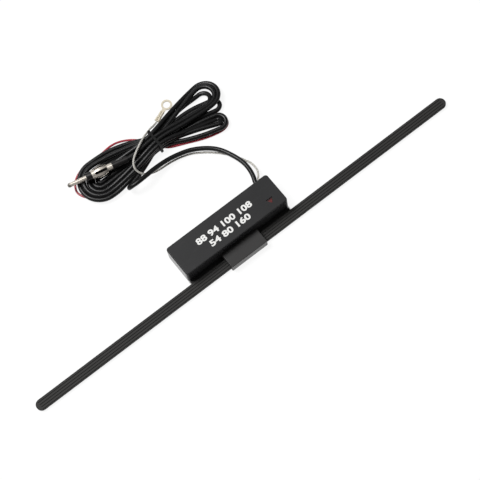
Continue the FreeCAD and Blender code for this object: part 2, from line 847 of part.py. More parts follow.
def make_ceramics():
    for number in range(3):
        name = f"ceramic_capacitor_{number + 1}"
        x, y = f"(ceramic_first_x + {number} * ceramic_pitch)", "housing_y + ceramic_y"
        low = "board_top + seat_fit + leg_height"
        disc = cylinder(f"{name}_disc", "ceramic_radius", "ceramic_thick", x, f"{y} - ceramic_thick / 2",
                        f"{low} + ceramic_radius", along_y)
        feet = legs(name, x, y, ("-leg_pitch", "leg_pitch"), "leg_height + ceramic_radius")
        node(join(name, disc, *feet), name)


def make_resistors():
    for number in range(3):
        name = f"resistor_{number + 1}"
        x, y = f"(resistor_first_x + {number} * resistor_pitch)", "housing_y + resistor_y"
        axis = "board_top + seat_fit + resistor_cap_radius"
        low, high = f"{x} - resistor_length / 2", f"{x} + resistor_length / 2 - resistor_cap"
        rods = (("core", "resistor_radius", "resistor_length", low),
                ("cap_0", "resistor_cap_radius", "resistor_cap", low),
                ("cap_1", "resistor_cap_radius", "resistor_cap", high),
                ("lead", "leg_radius", "resistor_span", f"{x} - resistor_span / 2"))
        pieces = [cylinder(f"{name}_{part}", radius, length, start, y, axis, along_x)
                  for part, radius, length, start in rods]
        offset = "(resistor_span / 2 - leg_radius)"
        pieces += legs(name, x, y, (f"-{offset}", offset), "resistor_cap_radius")
        node(join(name, *pieces), name)


def make_bush():
    body = new_body("cable_bush", "bush_x", "rear_y")
    neck = new_sketch(body, "neck", "XZ_Plane")
    reach = "(bush_width / 2 - bush_fit)"
    rectangle(neck, f"-{reach}", reach, "bush_under + bush_fit", "bush_under + bush_height - bush_fit")
    pad(body, neck, "housing_wall + bush_fit")
    flange = new_sketch(body, "flange", "XZ_Plane", "housing_wall + bush_fit")
    rectangle(flange, f"-({reach} + bush_flange)", f"{reach} + bush_flange",
              "bush_under + bush_fit - bush_flange", "bush_under + bush_height - bush_fit + bush_flange")
    pad(body, flange, "bush_flange_thick")


def make_tails():
    inner = "rear_y - housing_wall - bush_fit - bush_flange_thick"
    notch = "housing_y + board_rear_y - board_notch_depth"
    rows = (
        ("coax_tail", "coax_radius", "tail_length", "bush_x", "coax_z"),
        ("ground_tail", "ground_radius", "tail_length", "ground_x", "ground_z"),
        ("power_tail", "power_radius", f"{inner} - ({notch}) - seat_fit", "bush_x", "power_z"),
    )
    for name, radius, length, x, z in rows:
        node(cylinder(name, radius, length, x, f"{inner} - ({length})", z, along_y), name)


# Antenna plug: pieces turned about one axis, from the boot to the pin's tip

def plug_body(name):
    body = new_body(name, "plug_x", "plug_y", "plug_z")
    body.Placement = Placement(body.Placement.Base, Rotation(Vector(0, 0, 1), value("plug_angle")))
    bind(body, "Placement.Rotation.Angle", "plug_angle")
    return body


def make_boot():
    body = plug_body("plug_boot")
    bore = "ferrule_radius - shell_wall - plug_fit"
    front, tip = "boot_length - plug_fit", "boot_length + boot_spigot"
    revolve(body, polygon(new_sketch(body, "profile", "XY_Plane"), [
        ("0", "0"), ("0", "boot_lead_radius"), (front, "boot_front_radius"), (front, bore),
        (tip, bore), (tip, "0")]))


def basket_arc(sketch, low, high, bend):
    start, end = (Vector(value(x), value(y), 0) for x, y in (low, high))
    half = (end - start) / 2
    across = Vector(-half.y, half.x, 0).normalize()
    centre = start + half - across * math.sqrt(value(bend) ** 2 - half.Length ** 2)
    ring = Part.Circle(centre, Vector(0, 0, 1), value(bend))
    first, last = (math.atan2(spot.y - centre.y, spot.x - centre.x) for spot in (end, start))
    geometry = sketch.addGeometry(Part.ArcOfCircle(ring, first, last))
    fix_radius(sketch, geometry, bend)
    fix_point(sketch, geometry, 1, high)
    fix_point(sketch, geometry, 2, low)
    return geometry


def make_shell():
    body = plug_body("plug_shell")
    profile = new_sketch(body, "profile", "XY_Plane")
    bend = "((basket_length / 2) ^ 2 + basket_bulge ^ 2) / (2 * basket_bulge)"
    rear, front = "ferrule_radius - shell_wall", "ring_radius - shell_wall"
    outside = basket_arc(profile, ("basket_start", "ferrule_radius"), ("basket_end", "ring_radius"), bend)
    inside = basket_arc(profile, ("basket_start", rear), ("basket_end", front), bend)
    runs = [
        (("shell_start", rear), ("shell_start", "ferrule_radius")),
        (("shell_start", "ferrule_radius"), ("basket_start", "ferrule_radius")),
        (("basket_end", "ring_radius"), ("shell_end", "ring_radius")),
        (("shell_end", "ring_radius"), ("shell_end", front)),
        (("shell_end", front), ("basket_end", front)),
        (("basket_start", rear), ("shell_start", rear)),
    ]
    lines = []
    for run in runs:
        start, end = (Vector(value(x), value(y), 0) for x, y in run)
        lines.append(profile.addGeometry(Part.LineSegment(start, end)))
    for line, (start, end) in zip((lines[0], lines[3]), (runs[0], runs[3])):
        fix_point(profile, line, 1, start)
        fix_point(profile, line, 2, end)
    joints = ((lines[1], 1, lines[0], 2), (lines[1], 2, outside, 2), (lines[2], 1, outside, 1),
              (lines[2], 2, lines[3], 1), (lines[4], 1, lines[3], 2), (lines[4], 2, inside, 1),
              (lines[5], 1, inside, 2), (lines[5], 2, lines[0], 1))
    for joint in joints:
        profile.addConstraint(Sketcher.Constraint("Coincident", *joint))
    revolve(body, profile)
    gap = new_sketch(body, "gap", "XY_Plane")
    gap.AttachmentOffset = Placement(Vector(0, 0, 0), Rotation(Vector(-1, 0, 0), value("slot_turn")))
    bind(gap, "AttachmentOffset.Rotation.Angle", "slot_turn")
    margin = "slot_margin + slot_width / 2"
    slot(gap, f"basket_start + {margin}", f"basket_end - ({margin})", "0", "slot_width / 2")
    opening = pocket(body, gap, "2 * ring_radius", backwards=True)
    ring_of(body, opening, gap, "H_Axis", "slot_count")


def make_insulator():
    body = plug_body("plug_insulator")
    core = "ring_radius - shell_wall - plug_fit"
    hole = "pin_stem_radius + plug_fit"
    back = "boot_length + boot_spigot + plug_fit"
    front = "shell_end + plug_fit"
    revolve(body, polygon(new_sketch(body, "profile", "XY_Plane"), [
        (back, hole), (back, "core_radius"), ("basket_end", "core_radius"), ("basket_end", core),
        (front, core), (front, "collar_radius"), ("collar_end", "collar_radius"), ("collar_end", hole)]))


def make_pin():
    body = plug_body("plug_pin")
    front = "collar_end + plug_fit"
    revolve(body, polygon(new_sketch(body, "profile", "XY_Plane"), [
        ("collar_end - pin_stem_length", "0"), ("collar_end - pin_stem_length", "pin_stem_radius"),
        (front, "pin_stem_radius"), (front, "pin_radius"), ("pin_end - pin_tip", "pin_radius"),
        ("pin_end", "pin_radius - pin_tip"), ("pin_end", "0")]))


# Ring terminal: flat ring, neck and a crimped barrel with two rolled wings, wider where it grips the jacket

def make_terminal():
    turn = Rotation(Vector(0, 0, 1), value("terminal_angle"))
    ring = cylinder("terminal_ring", "terminal_radius", "terminal_thick")
    neck = block("terminal_neck", "barrel_start", "terminal_neck", "terminal_thick",
                 "-barrel_start", "-terminal_neck / 2")
    wings = [cylinder(f"terminal_{crimp}_{count}", f"{crimp}_lobe_radius", f"{crimp}_length",
                      "-barrel_start - barrel_length", f"{side} * {crimp}_lobe_spread",
                      f"{crimp}_lobe_radius", along_x)
             for crimp in ("barrel", "grip") for count, side in enumerate((1, -1))]
    hole = cylinder("terminal_hole", "terminal_hole_radius", "terminal_thick")
    terminal = cut("ring_terminal", join("terminal_blank", ring, neck, *wings), hole)
    place(terminal, "terminal_x", "terminal_y", "0", turn)
    bind(terminal, "Placement.Rotation.Angle", "terminal_angle")
    node(terminal, "ring_terminal")


# Hank: tapered loops that meet at the tied waist

def loop_prism(end, reach, height):
    waist = Vector(value("waist_x"), value("waist_y"), 0)
    small = value("waist_radius")
    tip = Vector(end[0], end[1], 0)
    run = tip - waist
    along = math.atan2(run.y, run.x)
    lean = math.acos((small - reach) / run.Length)

    def rim(centre, radius, angle):
        return centre + Vector(math.cos(along + angle), math.sin(along + angle), 0) * radius

    left, right = rim(waist, small, lean), rim(waist, small, -lean)
    far_left, far_right = rim(tip, reach, lean), rim(tip, reach, -lean)
    edges = [Part.LineSegment(right, far_right), Part.Arc(far_right, rim(tip, reach, 0), far_left),
             Part.LineSegment(far_left, left), Part.Arc(left, rim(waist, small, math.pi), right)]
    outline = Part.Wire([edge.toShape() for edge in edges])
    return Part.Face(outline).extrude(Vector(0, 0, height))


def rod_between(start, end, radius):
    run = end - start
    return Part.makeCylinder(radius, run.Length, start, run)


def make_hank():
    coax, waist = value("coax_radius"), Vector(value("waist_x"), value("waist_y"), 0)
    solid = loop_prism(hank_lobe, hank_lobe[2], value("lobe_height"))
    for loop in hank_fan:
        solid = solid.fuse(loop_prism(loop, loop[2], value("fan_height")))
    solid = solid.fuse(Part.makeCylinder(value("waist_radius"), value("waist_height"), waist))
    fold, back = Vector(*coax_route[-2]), Vector(*coax_route[-1])
    ahead = (back - fold).normalize()
    solid = solid.fuse(rod_between(back, back + ahead * (waist - back).Length, coax))
    turn = math.radians(value("plug_angle"))
    axis = Vector(math.cos(turn), math.sin(turn), 0)
    lead_end = Vector(value("plug_x"), value("plug_y"), value("plug_z"))
    clear = value("(ferrule_radius + ring_radius) / 2 + basket_bulge + trough_fit")
    solid = solid.cut(Part.makeCylinder(clear, value("collar_end + trough_fit"), lead_end, axis))
    solid = solid.fuse(rod_between(lead_end, lead_end - axis * value("plug_lead_reach"), coax))
    groove_half = value("tie_width / 2 + tie_fit")
    depth = value("tie_thick + tie_fit")
    across, height = value("waist_radius") - depth, value("waist_height") - 2 * depth
    span = 4 * value("waist_radius")
    ring = Part.makeBox(2 * groove_half, span, span, waist - Vector(groove_half, span / 2, span / 2))
    kept = Part.makeBox(2 * groove_half, 2 * across, height, waist - Vector(groove_half, across, -depth))
    hank = node(doc.addObject("Part::Feature", "coax_hank"), "coax_hank")
    hank.Shape = solid.cut(ring.cut(kept)).removeSplitter()


def make_tie():
    body = new_body("cable_tie", "waist_x", "waist_y")
    band = new_sketch(body, "band", "YZ_Plane")
    rectangle(band, "-waist_radius", "waist_radius", "0", "waist_height")
    inner = "(waist_radius - tie_thick)"
    rectangle(band, f"-{inner}", inner, "tie_thick", "waist_height - tie_thick")
    pad(body, band, "tie_width", both_ways=True)


make_strip()
make_tape()
make_element("element_wire_left", -1)
make_element("element_wire_right", 1)
make_clip()
make_cover()
make_lens()
make_plate()
make_pad()
make_screws()
make_board()
make_led()
make_transistor()
make_choke()
make_electrolytic()
make_ceramics()
make_resistors()
make_bush()
make_tails()
make_boot()
make_shell()
make_insulator()
make_pin()
make_terminal()
make_hank()
make_tie()
rear = value("rear_y")
coax_exit = Vector(value("bush_x"), rear, value("coax_z"))
power_exit = Vector(value("bush_x"), rear, value("power_z"))
ground_exit = Vector(value("ground_x"), rear, value("ground_z"))
terminal_turn = math.radians(value("terminal_angle"))
barrel_axis = Vector(math.cos(terminal_turn), math.sin(terminal_turn), 0)
terminal_middle = Vector(value("terminal_x"), value("terminal_y"), value("barrel_lobe_radius"))
barrel_end = terminal_middle - barrel_axis * value("barrel_start + barrel_length")
barrel_mouth = barrel_end - barrel_axis * value("barrel_run")
ground_route += [tuple(barrel_mouth), tuple(barrel_end)]
make_cord("coax_lead", coax_exit, "coax_run_out", coax_route, "coax_radius")
make_cord("power_wire", power_exit, "power_run_out", power_route, "power_radius")
make_cord("ground_wire", ground_exit, "ground_run_out", ground_route, "ground_radius")

doc.recompute()
for thing in doc.Objects:
    if "Invalid" in thing.State or "Error" in thing.State:
        raise ValueError(f"{thing.Name} failed: {thing.State}")
for thing in nodes:
    if thing.Shape.isNull() or not thing.Shape.isValid():
        raise ValueError(f"{thing.Label} has no valid shape")
os.makedirs("parts", exist_ok=True)
for thing in nodes:
    thing.Shape.exportStep(f"parts/{thing.Label}.step")
print(len(nodes), "nodes written")
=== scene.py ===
import json
import math

import bpy
from mathutils import Matrix, Vector


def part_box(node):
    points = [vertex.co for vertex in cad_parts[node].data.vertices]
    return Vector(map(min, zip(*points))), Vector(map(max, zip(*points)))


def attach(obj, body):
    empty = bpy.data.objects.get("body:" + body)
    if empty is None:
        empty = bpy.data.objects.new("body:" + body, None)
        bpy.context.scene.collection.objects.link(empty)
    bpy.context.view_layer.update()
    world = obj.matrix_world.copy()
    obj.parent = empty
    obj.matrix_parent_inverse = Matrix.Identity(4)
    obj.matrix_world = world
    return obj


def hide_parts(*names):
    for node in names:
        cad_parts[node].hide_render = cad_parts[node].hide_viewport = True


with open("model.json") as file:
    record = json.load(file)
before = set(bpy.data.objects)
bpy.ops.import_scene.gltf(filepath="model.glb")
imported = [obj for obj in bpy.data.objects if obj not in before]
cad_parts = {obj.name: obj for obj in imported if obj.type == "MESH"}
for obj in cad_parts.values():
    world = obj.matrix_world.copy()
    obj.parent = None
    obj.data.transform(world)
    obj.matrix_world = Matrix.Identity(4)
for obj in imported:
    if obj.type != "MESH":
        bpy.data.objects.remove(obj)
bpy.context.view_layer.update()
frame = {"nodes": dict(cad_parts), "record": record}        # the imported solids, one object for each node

nodes = frame["nodes"]
mm = 0.001


# Camera: fitted to the strip's ends and the housing's corners; angles in degrees
view = {
    "lens": 127.5,
    "sensor": 36.0,
    "elevation": 69.133,
    "turn": -24.833,
    "roll": -13.621,
    "distance": 1.17764,
    "target": (2.316 * mm, -3.573 * mm, 0.0),
    "clipStart": 0.01,
}


def aimCamera():
    tilt = math.radians(view["elevation"])
    turn = math.radians(view["turn"])
    roll = math.radians(view["roll"])
    back = Vector((math.sin(turn) * math.cos(tilt), -math.cos(turn) * math.cos(tilt), math.sin(tilt)))
    right = Vector((math.cos(turn), math.sin(turn), 0.0))
    up = back.cross(right)
    axisX = math.cos(roll) * right + math.sin(roll) * up
    axisY = math.cos(roll) * up - math.sin(roll) * right
    place = Vector(view["target"]) + view["distance"] * back
    lens = bpy.data.cameras.new("camera")
    lens.lens = view["lens"]
    lens.sensor_width = view["sensor"]
    lens.clip_start = view["clipStart"]
    camera = bpy.data.objects.new("camera", lens)
    bpy.context.scene.collection.objects.link(camera)
    camera.matrix_world = Matrix.Translation(place) @ Matrix((axisX, axisY, back)).transposed().to_4x4()
    bpy.context.scene.camera = camera


aimCamera()
print("camera aimed")


# Cords: routes in millimetres, from the bush in the housing's rear wall
coax = {
    "radius": 1.7,
    "exit": (35.0, 18.7, 8.2),
    "lead": [
        (35.3, 21.0, 8.2), (36.9, 24.4, 8.1), (38.2, 29.6, 7.6), (38.7, 34.8, 7.0), (38.4, 39.6, 6.3),
        (37.4, 44.4, 5.5), (35.9, 49.2, 4.8), (34.2, 53.8, 4.2), (31.8, 58.4, 3.8), (28.4, 62.5, 3.7),
        (24.0, 66.2, 3.7), (19.2, 69.4, 3.7), (12.7, 72.5, 3.8), (0.0, 75.0, 5.1), (-13.0, 74.5, 7.6),
        (-22.5, 73.0, 9.6), (-29.6, 72.6, 10.0),
    ],
    # back under itself, into the hank
    "turnBack": [
        (-34.6, 73.5, 8.6), (-35.4, 75.0, 4.8), (-31.8, 76.6, 3.4), (-26.0, 78.2, 3.6),
        (-18.0, 81.4, 2.8), (-11.0, 84.4, 2.4),
    ],
    "plugLead": [(-12.0, 92.1, 8.6), (-18.0, 91.2, 8.6), (-25.4, 92.45, 8.6)],
    "bevel": 5,      # roundness of the section
    "smooth": 4,      # steps between two points
}

# The hank: strands run through the tie in columns and rows, and turn round in loops at both ends
hank = {
    "tie": (0.4, 91.6),
    "columns": (-5.0, -1.7, 1.7, 5.0),
    "rows": (2.5, 5.5, 8.5),
    "straight": 6.0,
    # slope of the strands in the tie, by column and row
    "lean": ((-0.05, 0.0, 0.05), (-0.19, -0.05, 0.1), (-0.12, 0.08, 0.05), (-0.45, 0.0, 0.2)),
    "arc": (105, 70, 35, 0, -35, -70, -105),      # degrees round a loop
    "spread": 1.048,      # the spline cuts the corners between a loop's points
    "ways": (0.33, 0.7),      # shares of the way from the tie to a loop
    "first": (0, 0),      # slots of the first and the last strand
    "last": (2, 2),
    # in winding order; slots, heights and outward bulges of each loop's +Y and -Y strand
    "loops": [
        {"turn": (44.4, 76.0), "radius": 5.4, "slots": ((1, 0), (0, 0)), "heights": (3.4, 3.3),
         "bulge": (0.7, 1.8), "down": False},
        {"turn": (-46.8, 94.2), "radius": 5.45, "slots": ((3, 2), (1, 0)), "heights": (1.9, 1.9),
         "bulge": (-0.6, 0.6), "down": False},
        {"turn": (48.9, 98.6), "radius": 10.3, "slots": ((3, 2), (1, 2)), "heights": (1.9, 5.8),
         "bulge": (0.7, 0.8), "down": True},
        {"turn": (-46.6, 94.1), "radius": 8.9, "slots": ((2, 0), (1, 2)), "heights": (1.9, 1.9),
         "bulge": (2.5, 1.0), "down": False},
        {"turn": (46.2, 96.8), "radius": 5.5, "slots": ((3, 1), (2, 0)), "heights": (1.9, 5.6),
         "bulge": (1.6, 0.3), "down": False},
        {"turn": (-46.9, 93.4), "radius": 12.15, "slots": ((3, 1), (0, 2)), "heights": (5.0, 4.3),
         "bulge": (1.15, 1.2), "down": True},
        {"turn": (44.2, 76.4), "radius": 2.45, "slots": ((0, 2), (0, 1)), "heights": (2.0, 4.6),
         "bulge": (-0.2, -1.0), "down": True},
        {"turn": (-47.0, 93.7), "radius": 15.2, "slots": ((3, 0), (0, 1)), "heights": (3.3, 3.3),
         "bulge": (2.9, 1.2), "down": False},
        {"turn": (49.6, 88.7), "radius": 4.5, "slots": ((3, 0), (1, 1)), "heights": (1.9, 2.6),
         "bulge": (3.6, -1.9), "down": True},
        {"turn": (-46.8, 94.2), "radius": 2.0, "slots": ((2, 1), (1, 1)), "heights": (1.9, 1.9),
         "bulge": (-0.3, -0.3), "down": False},
        {"turn": (47.9, 97.9), "radius": 7.9, "slots": ((2, 1), (2, 2)), "heights": (4.2, 6.0),
         "bulge": (0.5, 0.4), "down": True},
    ],
}


# A strand's place beside the tie, on the side of -X or +X
def tieSpot(slot, side):
    column, row = slot
    x, y = hank["tie"]
    reach = side * hank["straight"]
    rise = hank["columns"][column] + hank["lean"][column][row] * reach
    return Vector((x + reach, y + rise, hank["rows"][row]))


# Points between the tie and a loop, pushed out to one side in an arch
def wayPoints(start, end, bulge):
    points = []
    for share in hank["ways"]:
        spot = start.lerp(end, share)
        arch = 4 * share * (1 - share)      # one at half way
        spot.y += arch * bulge
        points.append(spot)
    return points


# One loop, from its +Y strand round to its -Y strand, or the other way
def loopPoints(loop):
    middle = Vector((*loop["turn"], 0.0))
    side = math.copysign(1, middle.x)
    offset = middle.xy - Vector(hank["tie"])
    heading = math.atan2(offset.y, offset.x)
    reach = loop["radius"] * hank["spread"]
    high, low = loop["heights"]
    widest = math.sin(math.radians(hank["arc"][0]))
    turnPoints = []
    for step in hank["arc"]:
        angle = heading + side * math.radians(step)
        share = (1 + math.sin(math.radians(step)) / widest) / 2      # about one at +Y, nothing at -Y
        spot = middle + reach * Vector((math.cos(angle), math.sin(angle), 0.0))
        spot.z = low + share * (high - low)
        turnPoints.append(spot)
    start, end = (tieSpot(slot, side) for slot in loop["slots"])
    wayOut = wayPoints(start, turnPoints[0], loop["bulge"][0])
    wayBack = wayPoints(end, turnPoints[-1], -loop["bulge"][1])
    points = [start] + wayOut + turnPoints + wayBack[::-1] + [end]
    return points if loop["down"] else points[::-1]


def coaxPoints():
    points = [Vector(spot) for spot in [coax["exit"]] + coax["lead"] + coax["turnBack"]]
    points.append(tieSpot(hank["first"], -1))
    for loop in hank["loops"]:
        points += loopPoints(loop)
    points.append(tieSpot(hank["last"], -1))
    return points + [Vector(spot) for spot in coax["plugLead"]]


def layCord(name, points, radius, bevel, smooth):
    curve = bpy.data.curves.new(name, "CURVE")
    curve.dimensions = "3D"
    curve.bevel_depth = 1.0      # times the radius of each point
    curve.bevel_resolution = bevel
    curve.use_fill_caps = True
    curve.resolution_u = smooth
    spline = curve.splines.new("NURBS")
    spline.points.add(len(points) - 1)
    for spot, point in zip(spline.points, points):
        spot.co = (*(Vector(point) * mm), 1.0)
        spot.radius = radius * mm
    spline.order_u = 3
    spline.use_endpoint_u = True
    spline.resolution_u = smooth
    cord = bpy.data.objects.new(name, curve)
    bpy.context.scene.collection.objects.link(cord)
    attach(cord, "root")
    return cord


# The route as its spline runs, with no thickness
def cordLine(cord):
    bare = cord.copy()
    bare.data = cord.data.copy()
    bare.data.bevel_depth = 0.0
    line = bpy.data.meshes.new_from_object(bare)
    points = [vertex.co.copy() for vertex in line.vertices]
    bpy.data.objects.remove(bare)
    return points


def cordLength(cord):
    points = cordLine(cord)
    return sum((after - before).length for before, after in zip(points, points[1:]))


# Power wire: down beside the coax, then on the floor under the lead and the hank
power = {
    "radius": 0.8,
    "exit": (35.0, 18.7, 5.4),
    "lead": [(35.4, 21.4, 5.4), (37.4, 25.4, 5.2), (38.9, 31.2, 3.0), (39.6, 36.8, 1.2)],
    "lyingHeight": 0.85,
    # on the floor, under the coax
    "underLead": [
        (39.3, 41.5), (38.1, 46.0), (36.5, 50.6), (34.7, 55.0), (32.3, 59.4), (28.9, 63.5), (24.5, 67.2),
        (19.7, 70.4), (13.2, 73.5), (5.5, 75.2), (-3.0, 76.2),
    ],
    # under the hank's near side, round the outside of its end, across under the tie,
    # along the lowest loop and back
    "underHank": [
        (-12.0, 76.9), (-19.6, 76.4), (-26.0, 77.6), (-33.0, 80.2), (-42.0, 81.8), (-52.0, 83.4),
        (-59.0, 86.6), (-63.6, 91.8), (-65.7, 97.6), (-63.4, 102.8), (-60.2, 106.4), (-53.0, 110.0),
        (-45.0, 110.6), (-37.6, 110.2), (-31.6, 110.9), (-25.0, 111.4), (-19.0, 110.0), (-13.4, 107.0),
        (-8.4, 103.0), (-3.6, 97.6), (0.2, 91.6), (2.8, 88.4), (6.6, 85.0), (10.4, 82.8), (14.8, 80.6),
        (20.3, 78.1), (25.8, 75.9), (31.5, 74.0), (36.4, 72.9), (40.5, 72.5), (44.0, 72.6), (45.8, 73.6),
        (46.9, 75.4), (46.9, 77.0), (46.4, 78.6), (46.35, 80.4), (47.5, 81.55), (49.1, 81.55),
        (50.25, 80.4), (50.8, 78.2), (51.0, 75.7), (50.0, 72.2), (47.2, 70.1), (43.2, 69.6), (38.8, 70.4),
        (33.6, 71.7), (28.2, 73.5), (22.4, 76.0), (17.1, 78.5), (11.7, 80.8), (7.2, 82.8), (3.6, 85.4),
        (1.4, 88.6),
    ],
    "bevel": 3,
    "smooth": 5,
}


def powerPoints():
    lying = [(*spot, power["lyingHeight"]) for spot in power["underLead"] + power["underHank"]]
    return [power["exit"]] + power["lead"] + lying


# Ground wire: under the lead, then over the hank to the ring terminal
ground = {
    "radius": 0.85,
    "exit": (37.95, 18.7, 7.15),
    "lead": [
        (38.0, 21.4, 7.0), (40.6, 24.2, 6.3), (42.4, 27.4, 5.3), (43.2, 30.8, 4.3), (43.3, 33.8, 3.6),
        (42.9, 36.8, 3.0), (41.7, 39.8, 2.7), (39.9, 43.3, 2.7), (37.5, 47.3, 2.5), (34.6, 52.5, 1.4),
        (31.1, 57.0, 0.9), (25.2, 62.7, 0.9), (20.3, 66.4, 0.9), (14.2, 70.2, 0.9), (5.6, 72.8, 0.9),
        (-2.5, 74.0, 0.9), (-8.8, 74.0, 1.2), (-16.0, 74.4, 3.2), (-21.6, 76.8, 6.2), (-24.0, 80.4, 9.0),
        (-23.6, 83.8, 11.0), (-21.4, 87.0, 12.2), (-17.7, 89.9, 12.4), (-11.6, 93.6, 12.2),
        (-6.8, 96.2, 11.6), (-3.0, 98.4, 10.0), (0.6, 100.4, 7.4), (3.9, 102.7, 4.2), (7.6, 104.0, 1.4),
        (11.3, 105.49, 0.95),
    ],
    "bevel": 4,
    "smooth": 5,
    "strands": 6,
    "strandRadius": 0.27,
    "strandBevel": 1,
    "strandOffset": 0.47,
    "twistPitch": 7.0,
}

coaxCord = layCord("coax", coaxPoints(), coax["radius"], coax["bevel"], coax["smooth"])
powerCord = layCord("powerWire", powerPoints(), power["radius"], power["bevel"], power["smooth"])
groundCord = layCord("groundWire", [ground["exit"]] + ground["lead"],
                     ground["radius"], ground["bevel"], ground["smooth"])
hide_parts("coax_lead", "coax_hank")
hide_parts("power_wire")
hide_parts("ground_wire")
for cord in (coaxCord, powerCord, groundCord):
    print("cord", cord.name, round(cordLength(cord), 4), "m")


# Twisted strands inside the ground wire's clear jacket
def twistStrands():
    line = cordLine(groundCord)
    curve = bpy.data.curves.new("groundStrands", "CURVE")
    curve.dimensions = "3D"
    curve.bevel_depth = ground["strandRadius"] * mm
    curve.bevel_resolution = ground["strandBevel"]
    curve.use_fill_caps = True
    count = ground["strands"]
    for number in range(count):
        spline = curve.splines.new("POLY")
        spline.points.add(len(line) - 1)
        travelled = 0.0
        for index, point in enumerate(line):
            before, after = line[max(index - 1, 0)], line[min(index + 1, len(line) - 1)]
            along = (after - before).normalized()
            side = along.cross(Vector((0, 0, 1))).normalized()
            lift = side.cross(along)
            travelled += (point - before).length
            angle = 2 * math.pi * (number / count + travelled / (ground["twistPitch"] * mm))
            offset = ground["strandOffset"] * mm * (math.cos(angle) * side + math.sin(angle) * lift)
            spline.points[index].co = (*(point + offset), 1.0)
    strands = bpy.data.objects.new("groundStrands", curve)
    bpy.context.scene.collection.objects.link(strands)
    bpy.ops.object.select_all(action="DESELECT")
    strands.select_set(True)
    bpy.context.view_layer.objects.active = strands
    bpy.ops.object.convert(target="MESH")
    strands = bpy.context.view_layer.objects.active
    bpy.ops.object.shade_smooth()
    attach(strands, "root")
    return strands


groundStrands = twistStrands()
print("cords laid")


# Shader maths on sockets
class Wire:
    def __init__(self, tree, socket=None):
        self.tree = tree
        self.socket = socket

    # any node: its settings first, then the values or links of its sockets
    def add(self, kind, settings=None, sockets=None, out=0):
        node = self.tree.nodes.new(kind)
        for name, value in (settings or {}).items():
            setattr(node, name, value)
        for name, value in (sockets or {}).items():
            if isinstance(value, Wire):
                self.tree.links.new(value.socket, node.inputs[name])
            else:
                node.inputs[name].default_value = value
        return Wire(self.tree, node.outputs[out])

    def calc(self, operation, *values):
        return self.add("ShaderNodeMath", {"operation": operation}, dict(enumerate(values)))

    def __add__(self, other):
        return self.calc("ADD", self, other)

    def __radd__(self, other):
        return self.calc("ADD", other, self)

    def __sub__(self, other):
        return self.calc("SUBTRACT", self, other)

    def __rsub__(self, other):
        return self.calc("SUBTRACT", other, self)

    def __mul__(self, other):
        return self.calc("MULTIPLY", self, other)

    def __rmul__(self, other):
        return self.calc("MULTIPLY", other, self)


def startFinish(name, fixed=None):
    finish = bpy.data.materials.new(name)
    finish.use_nodes = True
    shader = finish.node_tree.nodes["Principled BSDF"]
    for socket, value in (fixed or {}).items():
        shader.inputs[socket].default_value = value
    place = Wire(finish.node_tree).add("ShaderNodeTexCoord", out="Object")
    return finish, shader, place


def feed(shader, socket, wire):
    wire.tree.links.new(wire.socket, shader.inputs[socket])


# Soft random values with features of that size in millimetres
def cloud(place, size, stretch=(1, 1, 1), detail=3.0, turn=0.0):
    scale = tuple(1 / (size * mm * part) for part in stretch)
    spread = place.add("ShaderNodeMapping", None,
                       {"Vector": place, "Rotation": (0, 0, turn), "Scale": scale})
    return place.add("ShaderNodeTexNoise", None, {"Vector": spread, "Scale": 1.0, "Detail": detail})


# A colour mix has its colours in sockets 6 and 7, and its result in output 2
def mixColour(share, first, second):
    ends = [side if isinstance(side, Wire) else (*side, 1.0) for side in (first, second)]
    return share.add("ShaderNodeMix", {"data_type": "RGBA"}, {0: share, 6: ends[0], 7: ends[1]}, out=2)


def shade(colour, level):
    return tuple(min(part * level, 1.0) for part in colour)


# Nothing up to the low value, one from the high value
def sharpen(wire, low, high):
    return wire.add("ShaderNodeMapRange", None, {0: wire, 1: low, 2: high})


# Nothing before the first place along that axis, one past the second
def beyond(place, axis, first, second):
    along = place.add("ShaderNodeSeparateXYZ", None, {0: place}, out=axis)
    return sharpen(along, first * mm, second * mm)


def dent(height, strength, depth):
    return height.add("ShaderNodeBump", None,
                      {"Strength": strength, "Distance": depth * mm, "Height": height})


# Moulded plastics: spark-eroded grain, faint flow clouds and a little rub, and one polished end
def mouldedFinish(name, colour, roughness, grain=0.22, depth=0.03, contrast=0.12, gloss=0.5, polish=None):
    finish, shader, place = startFinish(name, {"IOR": 1.5, "Specular IOR Level": gloss,
                                               "Coat Roughness": 0.12})
    flow = cloud(place, 14.0, stretch=(1.6, 1, 1), detail=4.0)
    skin = cloud(place, grain, detail=2.0)
    rub = sharpen(cloud(place, 3.2, stretch=(4, 1, 1), detail=5.0), 0.58, 0.8)
    base = mixColour(flow, shade(colour, 1 - contrast), shade(colour, 1 + contrast))
    feed(shader, "Base Color", mixColour(rub * 0.35, base, shade(colour, 1.5)))
    feed(shader, "Roughness", roughness - 0.05 + flow * 0.08 - rub * 0.06 + skin * 0.04)
    feed(shader, "Normal", dent(skin, 0.25, depth))
    if polish:
        feed(shader, "Coat Weight", beyond(place, *polish) * 0.6)
    return finish


# Extruded strip: fine drawn lines along X
def extrudedFinish(name, colour, roughness, gloss):
    finish, shader, place = startFinish(name, {"IOR": 1.5, "Specular IOR Level": gloss})
    lines = cloud(place, 0.35, stretch=(90, 1, 1))
    flow = cloud(place, 18.0, stretch=(3, 1, 1))
    tone = flow * 0.6 + lines * 0.4
    feed(shader, "Base Color", mixColour(tone, shade(colour, 0.8), shade(colour, 1.25)))
    feed(shader, "Roughness", roughness + flow * 0.1 - lines * 0.08)
    feed(shader, "Normal", dent(lines, 0.3, 0.03))
    return finish


